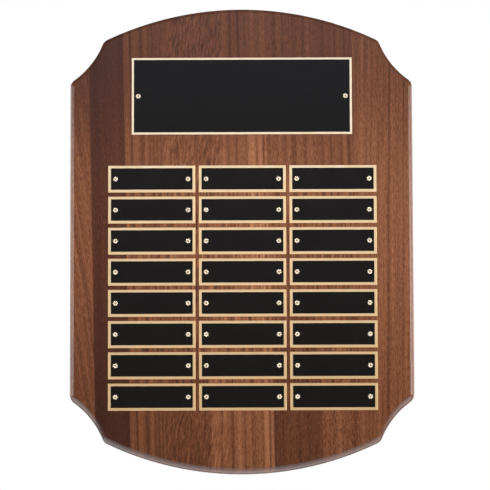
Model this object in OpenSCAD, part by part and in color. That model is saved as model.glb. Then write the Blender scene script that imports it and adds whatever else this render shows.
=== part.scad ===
// Award plaque: a walnut board glued up from seven staves, with a header plate and
// eight rows of three nameplates, each pinned by two rosette-headed brass tacks.
// The back face lies in the plane y = 0 and the front looks towards -Y, with +Z up.

/* [Board] */
// Width across the straight sides
board_w = 279.4; // [270:0.1:290]
// Height from the crown of one arch to the other
board_h = 381; // [370:0.5:395]
// Thickness
board_t = 19.05; // [16:0.05:25.4]
// Radius of the arched top and bottom edges
arch_r = 254; // [240:1:280]
// Radius of the scoop cut from each corner
scoop_r = 68.6; // [60:0.1:72]
// How far a scoop's centre lies outside the straight side
scoop_out = 37.3; // [34:0.1:42]
// How far a scoop's centre lies below the crown of the arch
scoop_drop = 3; // [0:0.5:8]
// Width of the rounded edge, measured across the front from the side to its crease
edge_w = 3.2; // [2:0.1:4]
// Depth of the rounded edge, measured down the side, where it ends flush
edge_d = 5.2; // [4.2:0.1:7]
// Radius that eases the outward corners
corner_r = 7; // [5.5:0.5:9]

/* [Staves] */
// Lean of the glue lines to the left as they rise, in degrees
glue_lean = 1.1; // [0:0.1:2]
// First glue line from the left, at mid height
glue_1 = -121.7; // [-124:0.1:-115]
// Second glue line
glue_2 = -93.7; // [-97:0.1:-88]
// Third glue line
glue_3 = -13.5; // [-15:0.1:-11]
// Fourth glue line
glue_4 = 23; // [20:0.1:26]
// Fifth glue line
glue_5 = 62; // [58:0.1:68]
// Sixth glue line
glue_6 = 93.5; // [88:0.1:98]

/* [Header plate] */
// Width
header_w = 179.8; // [160:0.1:190]
// Height
header_h = 63.5; // [50:0.5:70]
// Height of its middle above the middle of the board
header_z = 117.8; // [110:0.1:122]
// Offset of its middle to the right
header_x = 0.5; // [-2:0.1:2]
// Width of its bare brass border
header_border = 1.7; // [1:0.1:2.5]
// Distance of its tacks from its ends
header_tack_in = 5.3; // [5.2:0.1:8]

/* [Nameplates] */
// Width of one nameplate
name_w = 70.9; // [66:0.1:72]
// Height of one nameplate
name_h = 22.1; // [18:0.1:23]
// Spacing of the columns
col_pitch = 73.8; // [73:0.1:76]
// Spacing of the rows
row_pitch = 25.5; // [24.5:0.1:26]
// Height of the top row's upper edge above the middle of the board
grid_top = 60.4; // [56:0.1:64]
// Offset of the grid to the right
grid_x = 0.7; // [-2:0.1:2]
// Width of the bare brass border
name_border = 2.2; // [1.5:0.1:2.8]
// Distance of the tacks from the ends
name_tack_in = 5.9; // [5.6:0.1:8]

/* [Plate metal] */
// Thickness of the brass sheet
sheet_t = 0.6; // [0.5:0.05:1]
// Depth of the recess for the black field
recess = 0.12; // [0.1:0.01:0.2]
// Thickness of the black field
field_t = 0.1; // [0.08:0.01:0.2]
// Edge break round the front of a plate
edge_break = 0.25; // [0.1:0.05:0.35]

/* [Tacks] */
// Diameter of the rosette head
head_d = 4.4; // [4.2:0.1:5]
// Height of the head above the black field
head_h = 0.8; // [0.7:0.05:1.1]
// Diameter of the shank
shank_d = 1.2; // [1:0.1:1.4]
// Length under the head
shank_l = 12.7; // [10:0.1:13]

/* [Hanging slot] */
// Diameter of the entry hole for the screw's head
slot_head_d = 9.5; // [9:0.1:11]
// Width of the neck for the screw's shank
slot_neck_w = 5; // [4.6:0.1:5.4]
// Thickness of the lip that the screw's head pulls against
slot_lip = 4.2; // [4:0.1:5]
// Depth of the slot
slot_depth = 10.5; // [9:0.1:11]
// Height of the entry hole above the middle of the board
slot_z = 140; // [130:1:145]
// Rise from the entry hole to the seat
slot_rise = 20; // [15:1:22]

/* [Hidden] */
$fn = 96;
arch_fn = 256;
staves = 7;
hanging_stave = 4;
rows = 8;
columns = 3;
petals = 6;

// Glue lines from left to right, with a limit outside the board at each end
glue = [-board_w, glue_1, glue_2, glue_3, glue_4, glue_5, glue_6, board_w];
edge_r = (edge_w * edge_w + edge_d * edge_d) / (2 * edge_w);
edge_flats = 4;
field_seat = board_t + sheet_t - recess;
head_seat = field_seat + field_t;
tack_hole_d = shank_d + 0.4;
point_l = 2;
point_d = 0.3;
pilot_spare = 0.4;
past = 1;

STAVE_TONES = ["#7a4d3a", "#4a2c22", "#7d513a", "#96623f", "#6b432e", "#7c5038", "#885437"];
BRASS = "#d9b777";
BLACK = "#1c1a1a";

STAVES = [for (i = [1:staves]) str("stave_", i)];
NAMEPLATES = [for (r = [1:rows], c = [1:columns]) str("nameplate_r", r, "_c", c)];
PANEL_ROWS = [for (r = [1:rows]) str("name_panels_row_", r)];
TACK_ROWS = [for (r = [1:rows]) str("tacks_row_", r)];

// ---- Places in the plane of the front: x to the right, then height ----

header_at = [header_x, header_z];
function plate_at(row, col) = [grid_x + (col - (columns + 1) / 2) * col_pitch,
                               grid_top - name_h / 2 - (row - 1) * row_pitch];
function tack_pair(at, w, inset) = [for (s = [-1, 1]) at + [s * (w / 2 - inset), 0]];
function row_tacks(row) =
    [for (c = [1:columns], p = tack_pair(plate_at(row, c), name_w, name_tack_in)) p];
header_pair = tack_pair(header_at, header_w, header_tack_in);
all_tacks = concat(header_pair, [for (r = [1:rows], p = row_tacks(r)) p]);

// Where glue line i lies at a given height
function glue_x(i, height) = glue[i] - height * tan(glue_lean);
function in_stave(i, p) = glue_x(i - 1, p[1]) < p[0] + shank_d && glue_x(i, p[1]) > p[0] - shank_d;

// ---- Centres of the outline's arcs, for the top right quarter ----

arch_at = [0, board_h / 2 - arch_r];
scoop_at = [board_w / 2 + scoop_out, board_h / 2 - scoop_drop];

// Where two circles cross, to the left of the way from a to b
function crossing(a, ra, b, rb) =
    let (d = norm(b - a), u = (b - a) / d, along = (d * d + ra * ra - rb * rb) / (2 * d))
    a + along * u + sqrt(ra * ra - along * along) * [-u[1], u[0]];

// Easing arcs between the arch and the scoop, and between the scoop and the side
ease_arch_at = crossing(arch_at, arch_r - corner_r, scoop_at, scoop_r + corner_r);
ease_side_at = [board_w / 2 - corner_r,
                scoop_at[1] - sqrt(pow(scoop_r + corner_r, 2) - pow(scoop_out + corner_r, 2))];

function heading(from, to) = (to - from) / norm(to - from);

// ---- Shapes that several pieces use ----

// Stands a drawing of the front, with its depth along +Z, up into the board's frame
module upright() rotate([90, 0, 0]) children();

module four_corners() {
    for (mx = [0, 1], my = [0, 1]) mirror([mx, 0, 0]) mirror([0, my, 0]) children();
}

// ---- The board ----

// The rounded edge in narrow flats, from the side up to the crease, as [inwards, height]. They
// follow an arc that would run into the side smoothly and meets the front at the crease.
edge = [for (k = [0:edge_flats]) let (a = asin(edge_d / edge_r) * k / edge_flats)
            [edge_r * (1 - cos(a)), board_t - edge_d + edge_r * sin(a)]];

// Half of the board's section, out to its rim at w
module rim_section(w) {
    polygon(concat([[0, 0], [w, 0]], [for (p = edge) [w - p[0], p[1]]], [[0, board_t]]));
}

// A straight-sided bar as thick as the board, with both front edges rounded
module rounded_bar(w, h) {
    for (side = [0, 1]) mirror([side, 0, 0]) translate([0, h / 2, 0]) rotate([90, 0, 0])
        linear_extrude(height = h) rim_section(w / 2);
}

// A disc as thick as the board, with its front rim rounded
module rounded_disc(r, fn = $fn) rotate_extrude($fn = fn) rim_section(r);

// Takes a scoop out of a corner and leaves the same edge along it. Its last flat runs on past the
// front.
module scoop_cutter() {
    top = 2 * edge[edge_flats] - edge[edge_flats - 1];
    flare = concat([for (k = [0:edge_flats - 1]) edge[k]], [top]);
    rotate_extrude($fn = arch_fn)
        polygon(concat([[0, -past], [scoop_r, -past]],
                       [for (p = flare) [scoop_r + p[0], p[1]]], [[0, top[1]]]));
}

// The wedge at an easing arc's centre that holds the corner which the arc rounds off
module corner_wedge(at, way_a, way_b) {
    reach = 2 * corner_r;
    translate([0, 0, -past]) linear_extrude(height = board_t + 2 * past)
        polygon([at, at + reach * way_a, at + reach * way_b]);
}

module arch_corner_wedge()
    corner_wedge(ease_arch_at, heading(arch_at, ease_arch_at), heading(ease_arch_at, scoop_at));

module side_corner_wedge()
    corner_wedge(ease_side_at, [1, 0], heading(ease_side_at, scoop_at));

module board_blank() {
    difference() {
        intersection() {
            rounded_bar(board_w, board_h + 2 * past);
            translate(arch_at) rounded_disc(arch_r, arch_fn);
            translate(-arch_at) rounded_disc(arch_r, arch_fn);
        }
        four_corners() {
            translate(scoop_at) scoop_cutter();
            arch_corner_wedge();
            side_corner_wedge();
        }
    }
    four_corners() {
        intersection() {
            arch_corner_wedge();
            translate(ease_arch_at) rounded_disc(corner_r);
        }
        intersection() {
            side_corner_wedge();
            translate(ease_side_at) rounded_disc(corner_r);
        }
    }
}

// The slab of the board between two leaning glue lines
module stave_slab(i) {
    translate([0, 0, -past]) linear_extrude(height = board_t + 2 * past)
        polygon([[glue_x(i - 1, -board_h), -board_h], [glue_x(i, -board_h), -board_h],
                 [glue_x(i, board_h), board_h], [glue_x(i - 1, board_h), board_h]]);
}

// Drilled for the tacks' shanks, a little deeper than they reach
module pilot_hole(p) {
    depth = shank_l - (head_seat - board_t) + pilot_spare;
    translate([p[0], p[1], board_t - depth]) cylinder(d = shank_d, h = depth + past);
}

// One width of the slot, from the entry hole up to its round seat
module slot_run(w, from, to) {
    translate([-w / 2, slot_z, from]) cube([w, slot_rise, to - from]);
    translate([0, slot_z + slot_rise, from]) cylinder(d = w, h = to - from);
}

// Keyhole slot, routed into the back
module keyhole_slot() {
    translate([0, slot_z, -past]) cylinder(d = slot_head_d, h = slot_depth + past);
    slot_run(slot_neck_w, -past, slot_depth);
    slot_run(slot_head_d, slot_lip, slot_depth);
}

module stave(i) {
    color(STAVE_TONES[i - 1]) upright() difference() {
        intersection() {
            board_blank();
            stave_slab(i);
        }
        for (p = all_tacks) if (in_stave(i, p)) pilot_hole(p);
        if (i == hanging_stave) keyhole_slot();
    }
}

// ---- Plates ----

// A flat bar of sheet, w across and h long, with its two long front edges broken
module broken_bar(w, h) {
    translate([0, h / 2, 0]) rotate([90, 0, 0]) linear_extrude(height = h)
        polygon([[-w / 2, 0], [w / 2, 0], [w / 2, sheet_t - edge_break],
                 [w / 2 - edge_break, sheet_t], [edge_break - w / 2, sheet_t],
                 [-w / 2, sheet_t - edge_break]]);
}

// Brass sheet with its front edges broken, recessed inside the border, and with two tack holes
module brass_plate(at, w, h, border, inset) {
    color(BRASS) upright() difference() {
        translate([at[0], at[1], board_t]) intersection() {
            broken_bar(w, h);
            rotate([0, 0, 90]) broken_bar(h, w);
        }
        field(at, w, h, border, recess + past);
        for (p = tack_pair(at, w, inset))
            translate([p[0], p[1], board_t - past]) cylinder(d = tack_hole_d, h = sheet_t + 2 * past);
    }
}

// The space inside a plate's border, from the floor of the recess forwards
module field(at, w, h, border, depth) {
    translate([at[0] + border - w / 2, at[1] + border - h / 2, field_seat])
        cube([w - 2 * border, h - 2 * border, depth]);
}

// Black field that fills the recess, with two tack holes
module black_panel(at, w, h, border, inset) {
    color(BLACK) upright() difference() {
        field(at, w, h, border, field_t);
        for (p = tack_pair(at, w, inset))
            translate([p[0], p[1], board_t]) cylinder(d = tack_hole_d, h = sheet_t + past);
    }
}

module header_plate() brass_plate(header_at, header_w, header_h, header_border, header_tack_in);

module header_panel() black_panel(header_at, header_w, header_h, header_border, header_tack_in);

module nameplate(row, col)
    brass_plate(plate_at(row, col), name_w, name_h, name_border, name_tack_in);

module name_panels(row) {
    for (c = [1:columns]) black_panel(plate_at(row, c), name_w, name_h, name_border, name_tack_in);
}

// ---- Tacks ----

// Six round petals about a low boss, on a thin collar
module rosette() {
    petal_r = 0.4 * head_d / 2;
    sunk = 0.12;
    collar_h = 0.3;
    boss_d = 1.5;
    cylinder(r = head_d / 2 - petal_r / 2, h = collar_h);
    cylinder(d1 = boss_d, d2 = boss_d / 2, h = head_h * 0.75);
    intersection() {
        cylinder(d = 2 * head_d, h = head_h);
        for (k = [1:petals]) rotate([0, 0, 360 / petals * k])
            translate([head_d / 2 - petal_r, 0, -sunk]) sphere(r = petal_r);
    }
}

// A tack seated on the black field, its rosette turned by its own angle
module tack(p, turn) {
    shaft_l = shank_l - point_l;
    color(BRASS) upright() translate([p[0], p[1], head_seat]) {
        rotate([0, 0, turn]) rosette();
        translate([0, 0, -shaft_l]) cylinder(d = shank_d, h = shaft_l + head_h / 2);
        translate([0, 0, -shank_l]) cylinder(d1 = point_d, d2 = shank_d, h = point_l);
    }
}

module header_tacks() {
    for (k = [0:1]) tack(header_pair[k], 25 * k + 10);
}

// No two neighbouring tacks were driven with their petals in line
module tack_row(row) {
    places = row_tacks(row);
    for (k = [0:len(places) - 1]) tack(places[k], 37 * row + 23 * k);
}

for (i = [1:staves]) stave(i);
header_plate();
header_panel();
header_tacks();
for (r = [1:rows], c = [1:columns])
    nameplate(r, c);
for (r = [1:rows]) name_panels(r);
for (r = [1:rows]) tack_row(r);
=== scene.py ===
import math

import bmesh
import bpy
from mathutils import Matrix, Vector


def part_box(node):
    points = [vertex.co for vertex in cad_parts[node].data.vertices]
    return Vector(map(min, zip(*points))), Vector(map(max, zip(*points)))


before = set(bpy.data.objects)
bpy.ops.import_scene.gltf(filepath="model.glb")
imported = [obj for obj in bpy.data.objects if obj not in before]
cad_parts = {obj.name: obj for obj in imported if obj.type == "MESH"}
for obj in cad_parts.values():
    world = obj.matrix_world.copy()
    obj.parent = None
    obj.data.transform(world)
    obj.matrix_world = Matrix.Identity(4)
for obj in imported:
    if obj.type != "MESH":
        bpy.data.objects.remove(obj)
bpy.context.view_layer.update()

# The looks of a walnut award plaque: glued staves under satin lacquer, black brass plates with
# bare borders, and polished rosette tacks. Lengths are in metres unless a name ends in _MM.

MM = 0.001
ROWS = 8
COLUMNS = 3
STAVE_COUNT = 7

# The glue lines lean to the left as they rise
GLUE_LEAN = 1.1

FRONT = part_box("stave_4")[0].y


# ---- Node trees ----

class Nodes:
    """A new material's node tree. Each method adds a node and returns its output."""

    def __init__(self, name):
        self.material = bpy.data.materials.new(name)
        self.material.use_nodes = True
        self.tree = self.material.node_tree
        self.shader = self.tree.nodes["Principled BSDF"]

    def put(self, value, socket):
        """Links an output to the socket, or sets the socket to a plain value."""
        if isinstance(value, bpy.types.NodeSocket):
            self.tree.links.new(value, socket)
        else:
            socket.default_value = value

    def set(self, **sockets):
        """Sets the shader's sockets, named with _ for a space."""
        for name, value in sockets.items():
            self.put(value, self.shader.inputs[name.replace("_", " ")])

    def millimetres(self):
        """The point in the row frame, in millimetres."""
        point = self.tree.nodes.new("ShaderNodeTexCoord").outputs["Object"]
        return self.vector("SCALE", point, scale=1 / MM)

    def vector(self, operation, a, b=None, scale=None):
        node = self.tree.nodes.new("ShaderNodeVectorMath")
        node.operation = operation
        self.put(a, node.inputs[0])
        if b is not None:
            self.put(b, node.inputs[1])
        if scale is not None:
            self.put(scale, node.inputs["Scale"])
        return node.outputs[0]

    def split(self, point):
        node = self.tree.nodes.new("ShaderNodeSeparateXYZ")
        self.put(point, node.inputs[0])
        return node.outputs

    def join(self, x, y, z):
        node = self.tree.nodes.new("ShaderNodeCombineXYZ")
        for value, socket in zip((x, y, z), node.inputs):
            self.put(value, socket)
        return node.outputs[0]

    def maths(self, operation, a, b=0.0, c=None):
        node = self.tree.nodes.new("ShaderNodeMath")
        node.operation = operation
        self.put(a, node.inputs[0])
        self.put(b, node.inputs[1])
        if c is not None:
            self.put(c, node.inputs[2])
        return node.outputs[0]

    def remap(self, value, low, high, to_low=0.0, to_high=1.0, smooth=False):
        """value, from low to high, mapped on to_low to to_high and held there."""
        node = self.tree.nodes.new("ShaderNodeMapRange")
        node.interpolation_type = "SMOOTHSTEP" if smooth else "LINEAR"
        for put_value, socket in zip((value, low, high, to_low, to_high), node.inputs):
            self.put(put_value, socket)
        return node.outputs[0]

    def noise(self, point, detail=2.0, roughness=0.5):
        node = self.tree.nodes.new("ShaderNodeTexNoise")
        node.inputs["Scale"].default_value = 1.0
        node.inputs["Detail"].default_value = detail
        node.inputs["Roughness"].default_value = roughness
        self.put(point, node.inputs["Vector"])
        return node.outputs[0]

    def ramp(self, value, stops):
        """A colour ramp through stops of (position, tone or colour)."""
        node = self.tree.nodes.new("ShaderNodeValToRGB")
        elements = node.color_ramp.elements
        while len(elements) < len(stops):
            elements.new(0.5)
        for element, (position, tone) in zip(elements, stops):
            element.position = position
            element.color = (*tone, 1) if isinstance(tone, tuple) else (tone, tone, tone, 1)
        self.put(value, node.inputs[0])
        return node.outputs["Color"]

    def bump(self, height, distance, strength=1.0):
        node = self.tree.nodes.new("ShaderNodeBump")
        node.inputs["Strength"].default_value = strength
        node.inputs["Distance"].default_value = distance
        self.put(height, node.inputs["Height"])
        return node.outputs[0]


def dress(node, material):
    """Gives a CAD node its material on every slot."""
    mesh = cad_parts[node].data
    mesh.materials.clear()
    mesh.materials.append(material)


# ---- Walnut ----

# From the darkest heartwood line to the palest stripe
WALNUT_TONES = [
    (0.00, (0.034, 0.010, 0.005)),
    (0.20, (0.078, 0.0225, 0.009)),
    (0.40, (0.153, 0.048, 0.0175)),
    (0.60, (0.248, 0.086, 0.034)),
    (0.80, (0.364, 0.136, 0.055)),
    (1.00, (0.500, 0.210, 0.095)),
]

# Each stave's own tone, and how it darkens towards the top and the foot: partly the wood's own
# change and partly painted shade where the light falls off
STAVE_TONE_AND_SHADE = {1: (0.265, 0.46, 0.37), 2: (0.125, 0.215, 0.10), 3: (0.31, 0.49, 0.375),
              4: (0.33, 0.565, 0.53), 5: (0.305, 0.495, 0.295), 6: (0.295, 0.49, 0.47),
              7: (0.39, 0.55, 0.465)}
UPPER_CHANGE_MM = (40, 150)
LOWER_CHANGE_MM = (-150, -5)

# The figure shows more strongly in paler wood: this much at no tone, and its rise with the tone
FIGURE_CONTRAST = 0.286
FIGURE_RISE = 1.43

# Heartwood lines and pale stripes: millimetres from the middle of the board at mid height, half
# width and change of tone, then the heights between which a streak shows, where it isn't whole
STREAKS = {
    1: [(-137, 1.5, 0.06), (-126, 1.6, 0.05), (-130, 5.0, -0.10, -200, -88)],
    2: [(-117, 3.0, -0.08), (-101, 3.5, 0.06)],
    3: [(-91.2, 1.2, 0.06), (-87.8, 0.8, -0.15), (-84.6, 2.2, 0.07), (-79.0, 1.4, -0.12),
        (-75.8, 1.3, 0.07), (-73.2, 0.5, -0.08), (-70.0, 0.7, -0.10), (-67.0, 0.7, -0.08),
        (-63.9, 0.7, -0.08), (-58.8, 2.0, 0.08, 50, 100), (-51.6, 1.7, -0.14, 154, 168),
        (-25.0, 1.6, -0.08, 50, 100), (-48.0, 17.0, -0.05, -200, -110),
        (-79.0, 1.4, -0.03, -200, -110), (-70.2, 0.9, -0.07, -200, -110),
        (-84.6, 1.6, 0.03, -200, -110), (-74.6, 1.3, 0.05, -200, -110),
        (-24.0, 3.4, 0.21, -200, -80), (-16.2, 2.4, 0.21, -200, -50)],
    4: [(-13.0, 0.8, 0.11, 40, 120), (-10.6, 1.6, 0.05, 120, 200), (-6.0, 1.2, -0.14, 120, 200),
        (0.4, 0.9, -0.20, 120, 200), (-9.2, 0.8, -0.14, -20, 120), (-2.5, 0.7, -0.17, -20, 120),
        (-10.6, 1.2, -0.18, -200, -40), (-5.4, 1.6, 0.12, -200, -40), (-0.6, 0.7, -0.13, -200, -60),
        (7.4, 0.6, -0.10, -200, -100), (5.7, 0.7, -0.10),
        (10.0, 3.0, 0.18, -60, 120), (12.5, 2.0, 0.08, 120, 200), (16.8, 1.9, 0.17, -200, 120),
        (13.9, 0.5, -0.07), (19.4, 0.5, -0.15, -200, 120), (19.4, 0.9, 0.10, 120, 200),
        (21.4, 0.7, 0.13)],
    5: [(29.8, 1.1, -0.09, 120, 200), (33.6, 1.8, 0.05, 40, 200), (36.8, 0.8, -0.07, 40, 200),
        (40.5, 1.2, 0.08, 20, 120), (44.7, 1.2, -0.13, 20, 120), (48.6, 1.6, 0.05, 20, 120),
        (47.0, 0.7, -0.07, 120, 200), (53.8, 1.0, -0.09, 20, 200), (57.4, 1.2, 0.10, 20, 200),
        (36.0, 3.4, 0.05, -200, -150), (24.6, 1.2, -0.08, -200, -30),
        (30.5, 0.8, -0.07, -200, -60), (43.2, 0.8, -0.08, -200, -60), (51.5, 1.0, -0.07, -200, -60)],
    6: [(67.8, 0.8, -0.08, 20, 120), (70.5, 1.0, 0.07, 20, 120), (74.3, 0.7, -0.09, 20, 120),
        (82.8, 1.0, -0.07, 20, 120), (85.8, 1.0, 0.07, 20, 120), (89.3, 1.0, -0.14, 20, 120),
        (69.8, 1.6, -0.06, 120, 200), (79.2, 0.8, -0.10, 120, 200), (82.6, 1.2, 0.06, 120, 200),
        (87.0, 1.0, -0.07, 120, 200), (93.2, 1.0, -0.07, 120, 200), (76.0, 1.4, 0.12, -200, -60),
        (88.6, 1.4, -0.12, -200, -60)],
    7: [(97.6, 1.0, 0.07), (104.5, 0.7, -0.08), (119.7, 0.8, -0.13), (127.0, 0.7, -0.08),
        (131.5, 0.6, -0.07)],
}

# A streak fades in and out over this height
STREAK_FADE_MM = 14

# The rings move this far across the board for each millimetre inwards
RING_SLOPE = 0.3

# Lean of the grain to the left as it rises, in degrees, where it isn't the glue lines' own
GRAIN_LEAN = {1: 9.0, 7: -0.6}

# End grain takes up more lacquer and is darker in tone by these factors, at the foot and the top.
# The foot's stronger darkening is painted shade, where little light reaches the underside
END_GRAIN_AND_SHADE_TONE = (0.58, 0.88)
END_GRAIN_MM = (-100, 100)

# The ripple sets in between these places across the board, and leans to the right as it rises
RIPPLE_FROM_MM = (-74, -52)
RIPPLE_LEAN = 9

# The pores change between these heights, from the foot's to the rest's
PORE_CHANGE_MM = (-125, -95)

# Pores show where their noise is over this above the foot, and reach full depth a little further
PORE_FROM = 0.58
PORE_RISE = 0.12

# Crisper stripes show in these staves, between these heights
CRISP_STRIPES = {3: 0.15, 4: 0.15, 5: 0.14, 6: 0.16}
CRISP_BETWEEN_MM = (-132, 50)

# How strongly each layer of the figure shows in each stave. pores holds their depth above the
# foot, their depth at the foot, and the noise that they start from there
CHARACTER = {
    1: dict(rings=0.14, streaks=0.10, flecks=0.22, pores=(0.12, 0.12, 0.58), ripple=0.00),
    2: dict(rings=0.04, streaks=0.06, flecks=0.25, pores=(0.11, 0.16, 0.56), ripple=0.00),
    3: dict(rings=0.04, streaks=0.08, flecks=0.16, pores=(0.12, 0.14, 0.57), ripple=0.34),
    4: dict(rings=0.04, streaks=0.07, flecks=0.19, pores=(0.10, 0.18, 0.56), ripple=0.02),
    5: dict(rings=0.05, streaks=0.09, flecks=0.23, pores=(0.12, 0.22, 0.53), ripple=0.06),
    6: dict(rings=0.05, streaks=0.08, flecks=0.17, pores=(0.14, 0.32, 0.52), ripple=0.02),
    7: dict(rings=0.06, streaks=0.12, flecks=0.20, pores=(0.12, 0.12, 0.58), ripple=0.01),
}


def grain_place(n, x, depth, z, stave):
    """Millimetres across the grain, with its lean and the rings' slope inwards."""
    lean = math.tan(math.radians(GRAIN_LEAN.get(stave, GLUE_LEAN)))
    return n.maths("MULTIPLY_ADD", depth, RING_SLOPE, n.maths("MULTIPLY_ADD", z, lean, x))


def band(n, z, low, high):
    """1 between the two heights, fading out beyond them."""
    rising = n.remap(z, low - STREAK_FADE_MM / 2, low + STREAK_FADE_MM / 2, smooth=True)
    falling = n.remap(z, high + STREAK_FADE_MM / 2, high - STREAK_FADE_MM / 2, smooth=True)
    return n.maths("MULTIPLY", rising, falling)


def streak_tone(n, place, z, stave):
    """The sum of the stave's own streaks."""
    total = 0.0
    for at, half, change, *heights in STREAKS[stave]:
        aside = n.maths("ABSOLUTE", n.maths("SUBTRACT", place, at))
        shown = n.remap(aside, 0.5 * half, 1.5 * half, change, 0.0, smooth=True)
        if heights:
            shown = n.maths("MULTIPLY", shown, band(n, z, *heights))
        total = n.maths("ADD", shown, total)
    return total


def stave_tone_and_shade(n, z, stave):
    """The stave's own tone at that height, darkened towards the top and the foot partly by painted
    shade.
    """
    top, middle, foot = STAVE_TONE_AND_SHADE[stave]
    upper = n.remap(z, *UPPER_CHANGE_MM, middle, top, smooth=True)
    return n.remap(z, *LOWER_CHANGE_MM, foot, upper, smooth=True)


def along_grain(n, place, y, z, width, length, seed, detail=2.0, roughness=0.5):
    """Noise drawn out along the grain, each blot about that wide and long in millimetres."""
    point = n.join(
        n.maths("MULTIPLY_ADD", place, 1 / width, seed),
        n.maths("MULTIPLY", y, 1 / width),
        n.maths("MULTIPLY", z, 1 / length),
    )
    return n.noise(point, detail, roughness)


def centred(n, noise, amount):
    """Noise as a change of tone, up or down."""
    return n.maths("MULTIPLY", n.maths("SUBTRACT", noise, 0.5), 4 * amount)


def ripple_tone(n, x, y, z, stave):
    """Bars of ripple that lean to the right as they rise."""
    slanted = n.maths("MULTIPLY_ADD", z, -math.tan(math.radians(RIPPLE_LEAN)), x)
    bars = along_grain(n, slanted, y, z, 1.6, 11.0, 40.0 + stave, 3.0, 0.65)
    shown = n.remap(x, *RIPPLE_FROM_MM, 0.0, CHARACTER[stave]["ripple"], smooth=True)
    return n.maths("MULTIPLY", n.maths("SUBTRACT", bars, 0.5), n.maths("MULTIPLY", shown, 4.0))


def end_grain_and_shade(n, z):
    """A factor on the tone, darker where the surface cuts across the grain, and darker still at the
    foot as painted shade.
    """
    normal = n.tree.nodes.new("ShaderNodeNewGeometry").outputs["True Normal"]
    across = n.maths("ABSOLUTE", n.split(normal)[2])
    return n.remap(across, 0.10, 0.50, 1.0, n.remap(z, *END_GRAIN_MM, *END_GRAIN_AND_SHADE_TONE), smooth=True)


def walnut(stave):
    """Satin lacquered walnut for one stave."""
    n = Nodes(f"walnut_{stave}")
    look = CHARACTER[stave]
    x, y, z = n.split(n.millimetres())
    depth = n.maths("SUBTRACT", y, FRONT / MM)
    place = grain_place(n, x, depth, z, stave)
    fibre = along_grain(n, place, y, z, 0.40, 12.0, stave * 3.7, 3.0, 0.6)
    pores = along_grain(n, place, y, z, 0.80, 3.5, stave * 9.1, 2.0, 0.6)
    above, foot, foot_from = look["pores"]
    pore_from = n.remap(z, *PORE_CHANGE_MM, foot_from, PORE_FROM, smooth=True)
    pore_mask = n.remap(pores, pore_from, n.maths("ADD", pore_from, PORE_RISE))
    rings = along_grain(n, place, y, z, 3.2, 260.0, stave * 5.3, 3.0, 0.6)
    streaks = along_grain(n, place, y, z, 1.1, 60.0, stave * 7.9, 3.0, 0.7)
    flecks = along_grain(n, place, y, z, 1.0, 4.0, stave * 2.3, 3.0, 0.7)
    figure = n.maths("ADD", streak_tone(n, place, z, stave), ripple_tone(n, x, y, z, stave))
    figure = n.maths("ADD", figure, centred(n, rings, look["rings"]))
    figure = n.maths("ADD", figure, centred(n, streaks, look["streaks"]))
    figure = n.maths("ADD", figure, centred(n, flecks, look["flecks"]))
    if stave in CRISP_STRIPES:
        stripes = along_grain(n, place, y, z, 1.7, 40.0, stave * 6.7)
        crisp = n.remap(stripes, 0.40, 0.60, -CRISP_STRIPES[stave], CRISP_STRIPES[stave])
        figure = n.maths("MULTIPLY_ADD", crisp, band(n, z, *CRISP_BETWEEN_MM), figure)
    pore_depth = n.remap(z, *PORE_CHANGE_MM, -foot, -above, smooth=True)
    figure = n.maths("MULTIPLY_ADD", pore_mask, pore_depth, figure)
    # own holds the stave's tone with the painted shade towards the top and the foot
    own = stave_tone_and_shade(n, z, stave)
    contrast = n.maths("MULTIPLY_ADD", own, FIGURE_RISE, FIGURE_CONTRAST)
    tone = n.maths("MULTIPLY_ADD", figure, contrast, own)
    # Darker end grain, with painted shade on the edges at the foot
    tone = n.maths("MULTIPLY", tone, end_grain_and_shade(n, z))
    height = n.maths("MULTIPLY_ADD", pore_mask, -1.0, n.maths("MULTIPLY", fibre, 0.5))
    n.set(
        Base_Color=n.ramp(tone, WALNUT_TONES),
        Roughness=n.remap(fibre, 0.3, 0.7, 0.50, 0.62),
        Normal=n.bump(height, 0.02 * MM, 0.6),
        Coat_Weight=1.0,
        Coat_Roughness=0.22,
        Coat_IOR=1.5,
    )
    n.shader.inputs["Specular IOR Level"].default_value = 0.0
    return n.material


# ---- Metal and enamel ----

# Brass from the warm foot of the grid to the paler, whiter header: the paling towards the top is a
# painted sheen of light from above
BRASS_TONES_AND_SHEEN = [(0.0, (0.85, 0.55, 0.26)), (0.35, (0.865, 0.59, 0.31)), (0.66, (0.885, 0.63, 0.34)),
               (0.76, (0.93, 0.71, 0.47)), (1.0, (0.93, 0.71, 0.46))]


def satin_brass():
    """Lacquered sheet brass with a faint rolling grain along the plate, paler towards the top by a
    painted sheen.
    """
    n = Nodes("satin_brass")
    x, y, z = n.split(n.millimetres())
    grain = n.noise(n.join(n.maths("MULTIPLY", x, 0.6), y, n.maths("MULTIPLY", z, 9.0)), 3.0, 0.6)
    cloud = n.noise(n.join(n.maths("MULTIPLY", x, 0.09), y, n.maths("MULTIPLY", z, 0.12)), 2.0)
    tone = n.maths("MULTIPLY_ADD", grain, 0.3, n.maths("MULTIPLY", cloud, 0.7))
    # The place on the ramp rises with height: a painted sheen of light from above that pales the
    # upper plates, with the grain and cloud mixed in
    place = n.maths("MULTIPLY_ADD", tone, 0.5, n.remap(z, -130, 150, -0.25, 0.75))
    colour = n.ramp(place, BRASS_TONES_AND_SHEEN)
    n.set(
        Base_Color=colour,
        Metallic=1.0,
        Roughness=n.remap(grain, 0.3, 0.7, 0.46, 0.56),
        Normal=n.bump(grain, 0.01 * MM, 0.5),
    )
    return n.material


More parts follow.
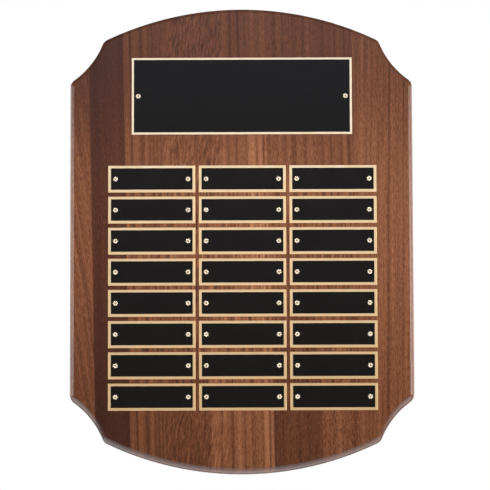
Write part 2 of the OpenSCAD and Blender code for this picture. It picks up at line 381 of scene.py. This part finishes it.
def polished_brass():
    """Bright tack brass, a little duller in random spots."""
    n = Nodes("polished_brass")
    spots = n.noise(n.vector("SCALE", n.millimetres(), scale=1.6), 2.0)
    colour = n.ramp(spots, [(0.3, (0.73, 0.60, 0.41)), (0.7, (0.83, 0.72, 0.53))])
    n.set(Base_Color=colour, Metallic=1.0, Roughness=n.remap(spots, 0.3, 0.7, 0.16, 0.24))
    return n.material


def black_enamel():
    """Baked black enamel with a very fine orange peel."""
    n = Nodes("black_enamel")
    peel = n.noise(n.vector("SCALE", n.millimetres(), scale=2.4), 3.0, 0.6)
    haze = n.noise(n.vector("SCALE", n.millimetres(), scale=0.06), 2.0)
    colour = n.ramp(haze, [(0.3, (0.0052, 0.0036, 0.0028)), (0.7, (0.0067, 0.0049, 0.0039))])
    n.set(
        Base_Color=colour,
        Roughness=n.remap(peel, 0.3, 0.7, 0.16, 0.22),
        Normal=n.bump(peel, 0.004 * MM, 0.5),
    )
    return n.material


# ---- Dressing the CAD nodes ----

for stave in range(1, STAVE_COUNT + 1):
    dress(f"stave_{stave}", walnut(stave))

BRASS = satin_brass()
ENAMEL = black_enamel()
TACK_BRASS = polished_brass()
dress("header_plate", BRASS)
dress("header_panel", ENAMEL)
dress("header_tacks", TACK_BRASS)
for row in range(1, ROWS + 1):
    dress(f"name_panels_row_{row}", ENAMEL)
    dress(f"tacks_row_{row}", TACK_BRASS)
    for column in range(1, COLUMNS + 1):
        dress(f"nameplate_r{row}_c{column}", BRASS)


# ---- Studio ----

FLOOR_HEIGHT = -1.2
FLOOR_HALF = 6.0
MIDDLE = (0, FRONT, 0)


def area_light(name, place, aim, width, height, radiance, colour=(1, 1, 1)):
    """A soft panel of that radiance, facing aim, unseen by the camera."""
    data = bpy.data.lights.new(name, "AREA")
    data.shape = "RECTANGLE"
    data.size, data.size_y = width, height
    data.energy = radiance * math.pi * width * height
    data.color = colour
    lamp = bpy.data.objects.new(name, data)
    bpy.context.scene.collection.objects.link(lamp)
    lamp.location = place
    lamp.rotation_euler = (Vector(aim) - Vector(place)).to_track_quat("-Z", "Y").to_euler()
    lamp.visible_camera = False


def spot_light(name, place, aim, reach, strength, radius):
    """A soft spot whose pool fades out at reach from aim. strength is the light it gives there."""
    data = bpy.data.lights.new(name, "SPOT")
    throw = (Vector(aim) - Vector(place)).length
    data.energy = strength * 4 * math.pi * math.pi * throw * throw
    data.spot_size = 2 * math.atan(reach / throw)
    data.spot_blend = 1.0
    data.shadow_soft_size = radius
    lamp = bpy.data.objects.new(name, data)
    bpy.context.scene.collection.objects.link(lamp)
    lamp.location = place
    lamp.rotation_euler = (Vector(aim) - Vector(place)).to_track_quat("-Z", "Y").to_euler()


def studio_world():
    """White where the camera sees past the object, and a dim room with a lit wall behind it."""
    world = bpy.data.worlds.new("studio")
    world.use_nodes = True
    bpy.context.scene.world = world
    tree = world.node_tree
    background = tree.nodes["Background"]

    def node(kind, **settings):
        made = tree.nodes.new(kind)
        for key, value in settings.items():
            setattr(made, key, value)
        return made

    def remap(socket, low, high):
        made = node("ShaderNodeMapRange", interpolation_type="SMOOTHSTEP")
        tree.links.new(socket, made.inputs[0])
        made.inputs[1].default_value, made.inputs[2].default_value = low, high
        return made.outputs[0]

    def mixed(factor, a, b):
        made = node("ShaderNodeMix", data_type="RGBA")
        tree.links.new(factor, made.inputs[0])
        for value, socket in ((a, made.inputs[6]), (b, made.inputs[7])):
            if isinstance(value, tuple):
                socket.default_value = (*value, 1)
            else:
                tree.links.new(value, socket)
        return made.outputs[2]

    axes = node("ShaderNodeSeparateXYZ")
    tree.links.new(node("ShaderNodeTexCoord").outputs["Generated"], axes.inputs[0])
    room = mixed(remap(axes.outputs[2], 0.04, 0.24), (0.08, 0.07, 0.06), (0.18, 0.18, 0.19))
    room = mixed(remap(axes.outputs[2], 0.45, 0.80), room, (0.14, 0.14, 0.14))
    room = mixed(remap(axes.outputs[1], 0.20, 0.70), room, (0.13, 0.13, 0.13))
    seen = node("ShaderNodeLightPath").outputs["Is Camera Ray"]
    tree.links.new(mixed(seen, room, (1.0, 1.0, 1.0)), background.inputs[0])


def pale_floor():
    """A broad pale floor, well below the hanging plaque. It glows a little, as lit from afar."""
    mesh = bpy.data.meshes.new("studio_floor")
    shape = bmesh.new()
    bmesh.ops.create_grid(shape, x_segments=8, y_segments=8, size=FLOOR_HALF)
    shape.to_mesh(mesh)
    shape.free()
    floor = bpy.data.objects.new("studio_floor", mesh)
    bpy.context.scene.collection.objects.link(floor)
    floor.location.z = FLOOR_HEIGHT
    n = Nodes("pale_floor")
    point = n.tree.nodes.new("ShaderNodeTexCoord").outputs["Object"]
    cloud = n.noise(n.vector("SCALE", point, scale=0.8), 2.0)
    n.set(Base_Color=n.ramp(cloud, [(0.3, (0.80, 0.80, 0.80)), (0.7, (0.84, 0.84, 0.84))]),
          Roughness=0.9, Emission_Color=(1, 1, 1, 1), Emission_Strength=0.30)
    mesh.materials.append(n.material)


def camera():
    """Long lens from a little below, level with the right of the middle."""
    rise = math.radians(7.812)
    roll = math.radians(0.179)
    distance = 3.4229
    data = bpy.data.cameras.new("camera")
    data.lens = 309.2
    data.sensor_width = 36
    data.clip_start, data.clip_end = 0.1, 50
    target = Vector((2.72 * MM, FRONT, -5.13 * MM))
    forward = Vector((0, math.cos(rise), math.sin(rise)))
    up = Vector((0, -math.sin(rise), math.cos(rise)))
    side = Vector((1, 0, 0))
    rolled_side = side * math.cos(roll) - up * math.sin(roll)
    rolled_up = side * math.sin(roll) + up * math.cos(roll)
    turn = Matrix((rolled_side, rolled_up, -forward)).transposed().to_4x4()
    eye = bpy.data.objects.new("camera", data)
    bpy.context.scene.collection.objects.link(eye)
    eye.matrix_world = Matrix.Translation(target - forward * distance) @ turn
    bpy.context.scene.camera = eye


bpy.context.scene.view_settings.view_transform = "Standard"
studio_world()
pale_floor()
camera()
area_light("left_wall", (-1.45, -0.55, -0.03), MIDDLE, 0.9, 0.8, 3.8)
area_light("right_wall", (1.45, -0.55, -0.03), MIDDLE, 0.9, 0.8, 5.2)
area_light("left_back", (-1.4, 0.75, 0.05), MIDDLE, 1.3, 1.0, 2.0)
area_light("right_back", (1.4, 0.75, 0.05), MIDDLE, 1.3, 1.0, 2.0)
area_light("low_back", (0, 0.60, -0.85), MIDDLE, 1.6, 0.6, 0.86)
area_light("low_under", (0, 0.20, -1.05), MIDDLE, 1.6, 0.35, 1.5)
area_light("low_front", (0, -0.42, -1.05), MIDDLE, 1.6, 0.22, 0.9)
area_light("low_far", (0, 1.05, -0.62), MIDDLE, 2.2, 0.4, 0.30)
for side in (-1, 1):
    area_light(f"low_side_{side + 1}", (side * 1.0, 0.35, -0.88), MIDDLE, 0.8, 0.6, 2.6)
    area_light(f"low_wing_{side + 1}", (side * 0.95, -0.56, -0.85), MIDDLE, 0.5, 0.35, 1.5)
area_light("overhead", (0, -2.4, 1.3), MIDDLE, 1.4, 0.6, 5.2, (0.72, 0.92, 1.20))
area_light("top_strip", (0, -0.75, 0.85), MIDDLE, 1.2, 0.25, 7.2, (0.82, 0.97, 1.30))
for side, strength in ((-1, 0.187), (1, 0.226)):
    spot_light(f"key_{side + 1}", (side * 0.95, -1.15, 0.08), MIDDLE, 0.20, strength, 0.12)
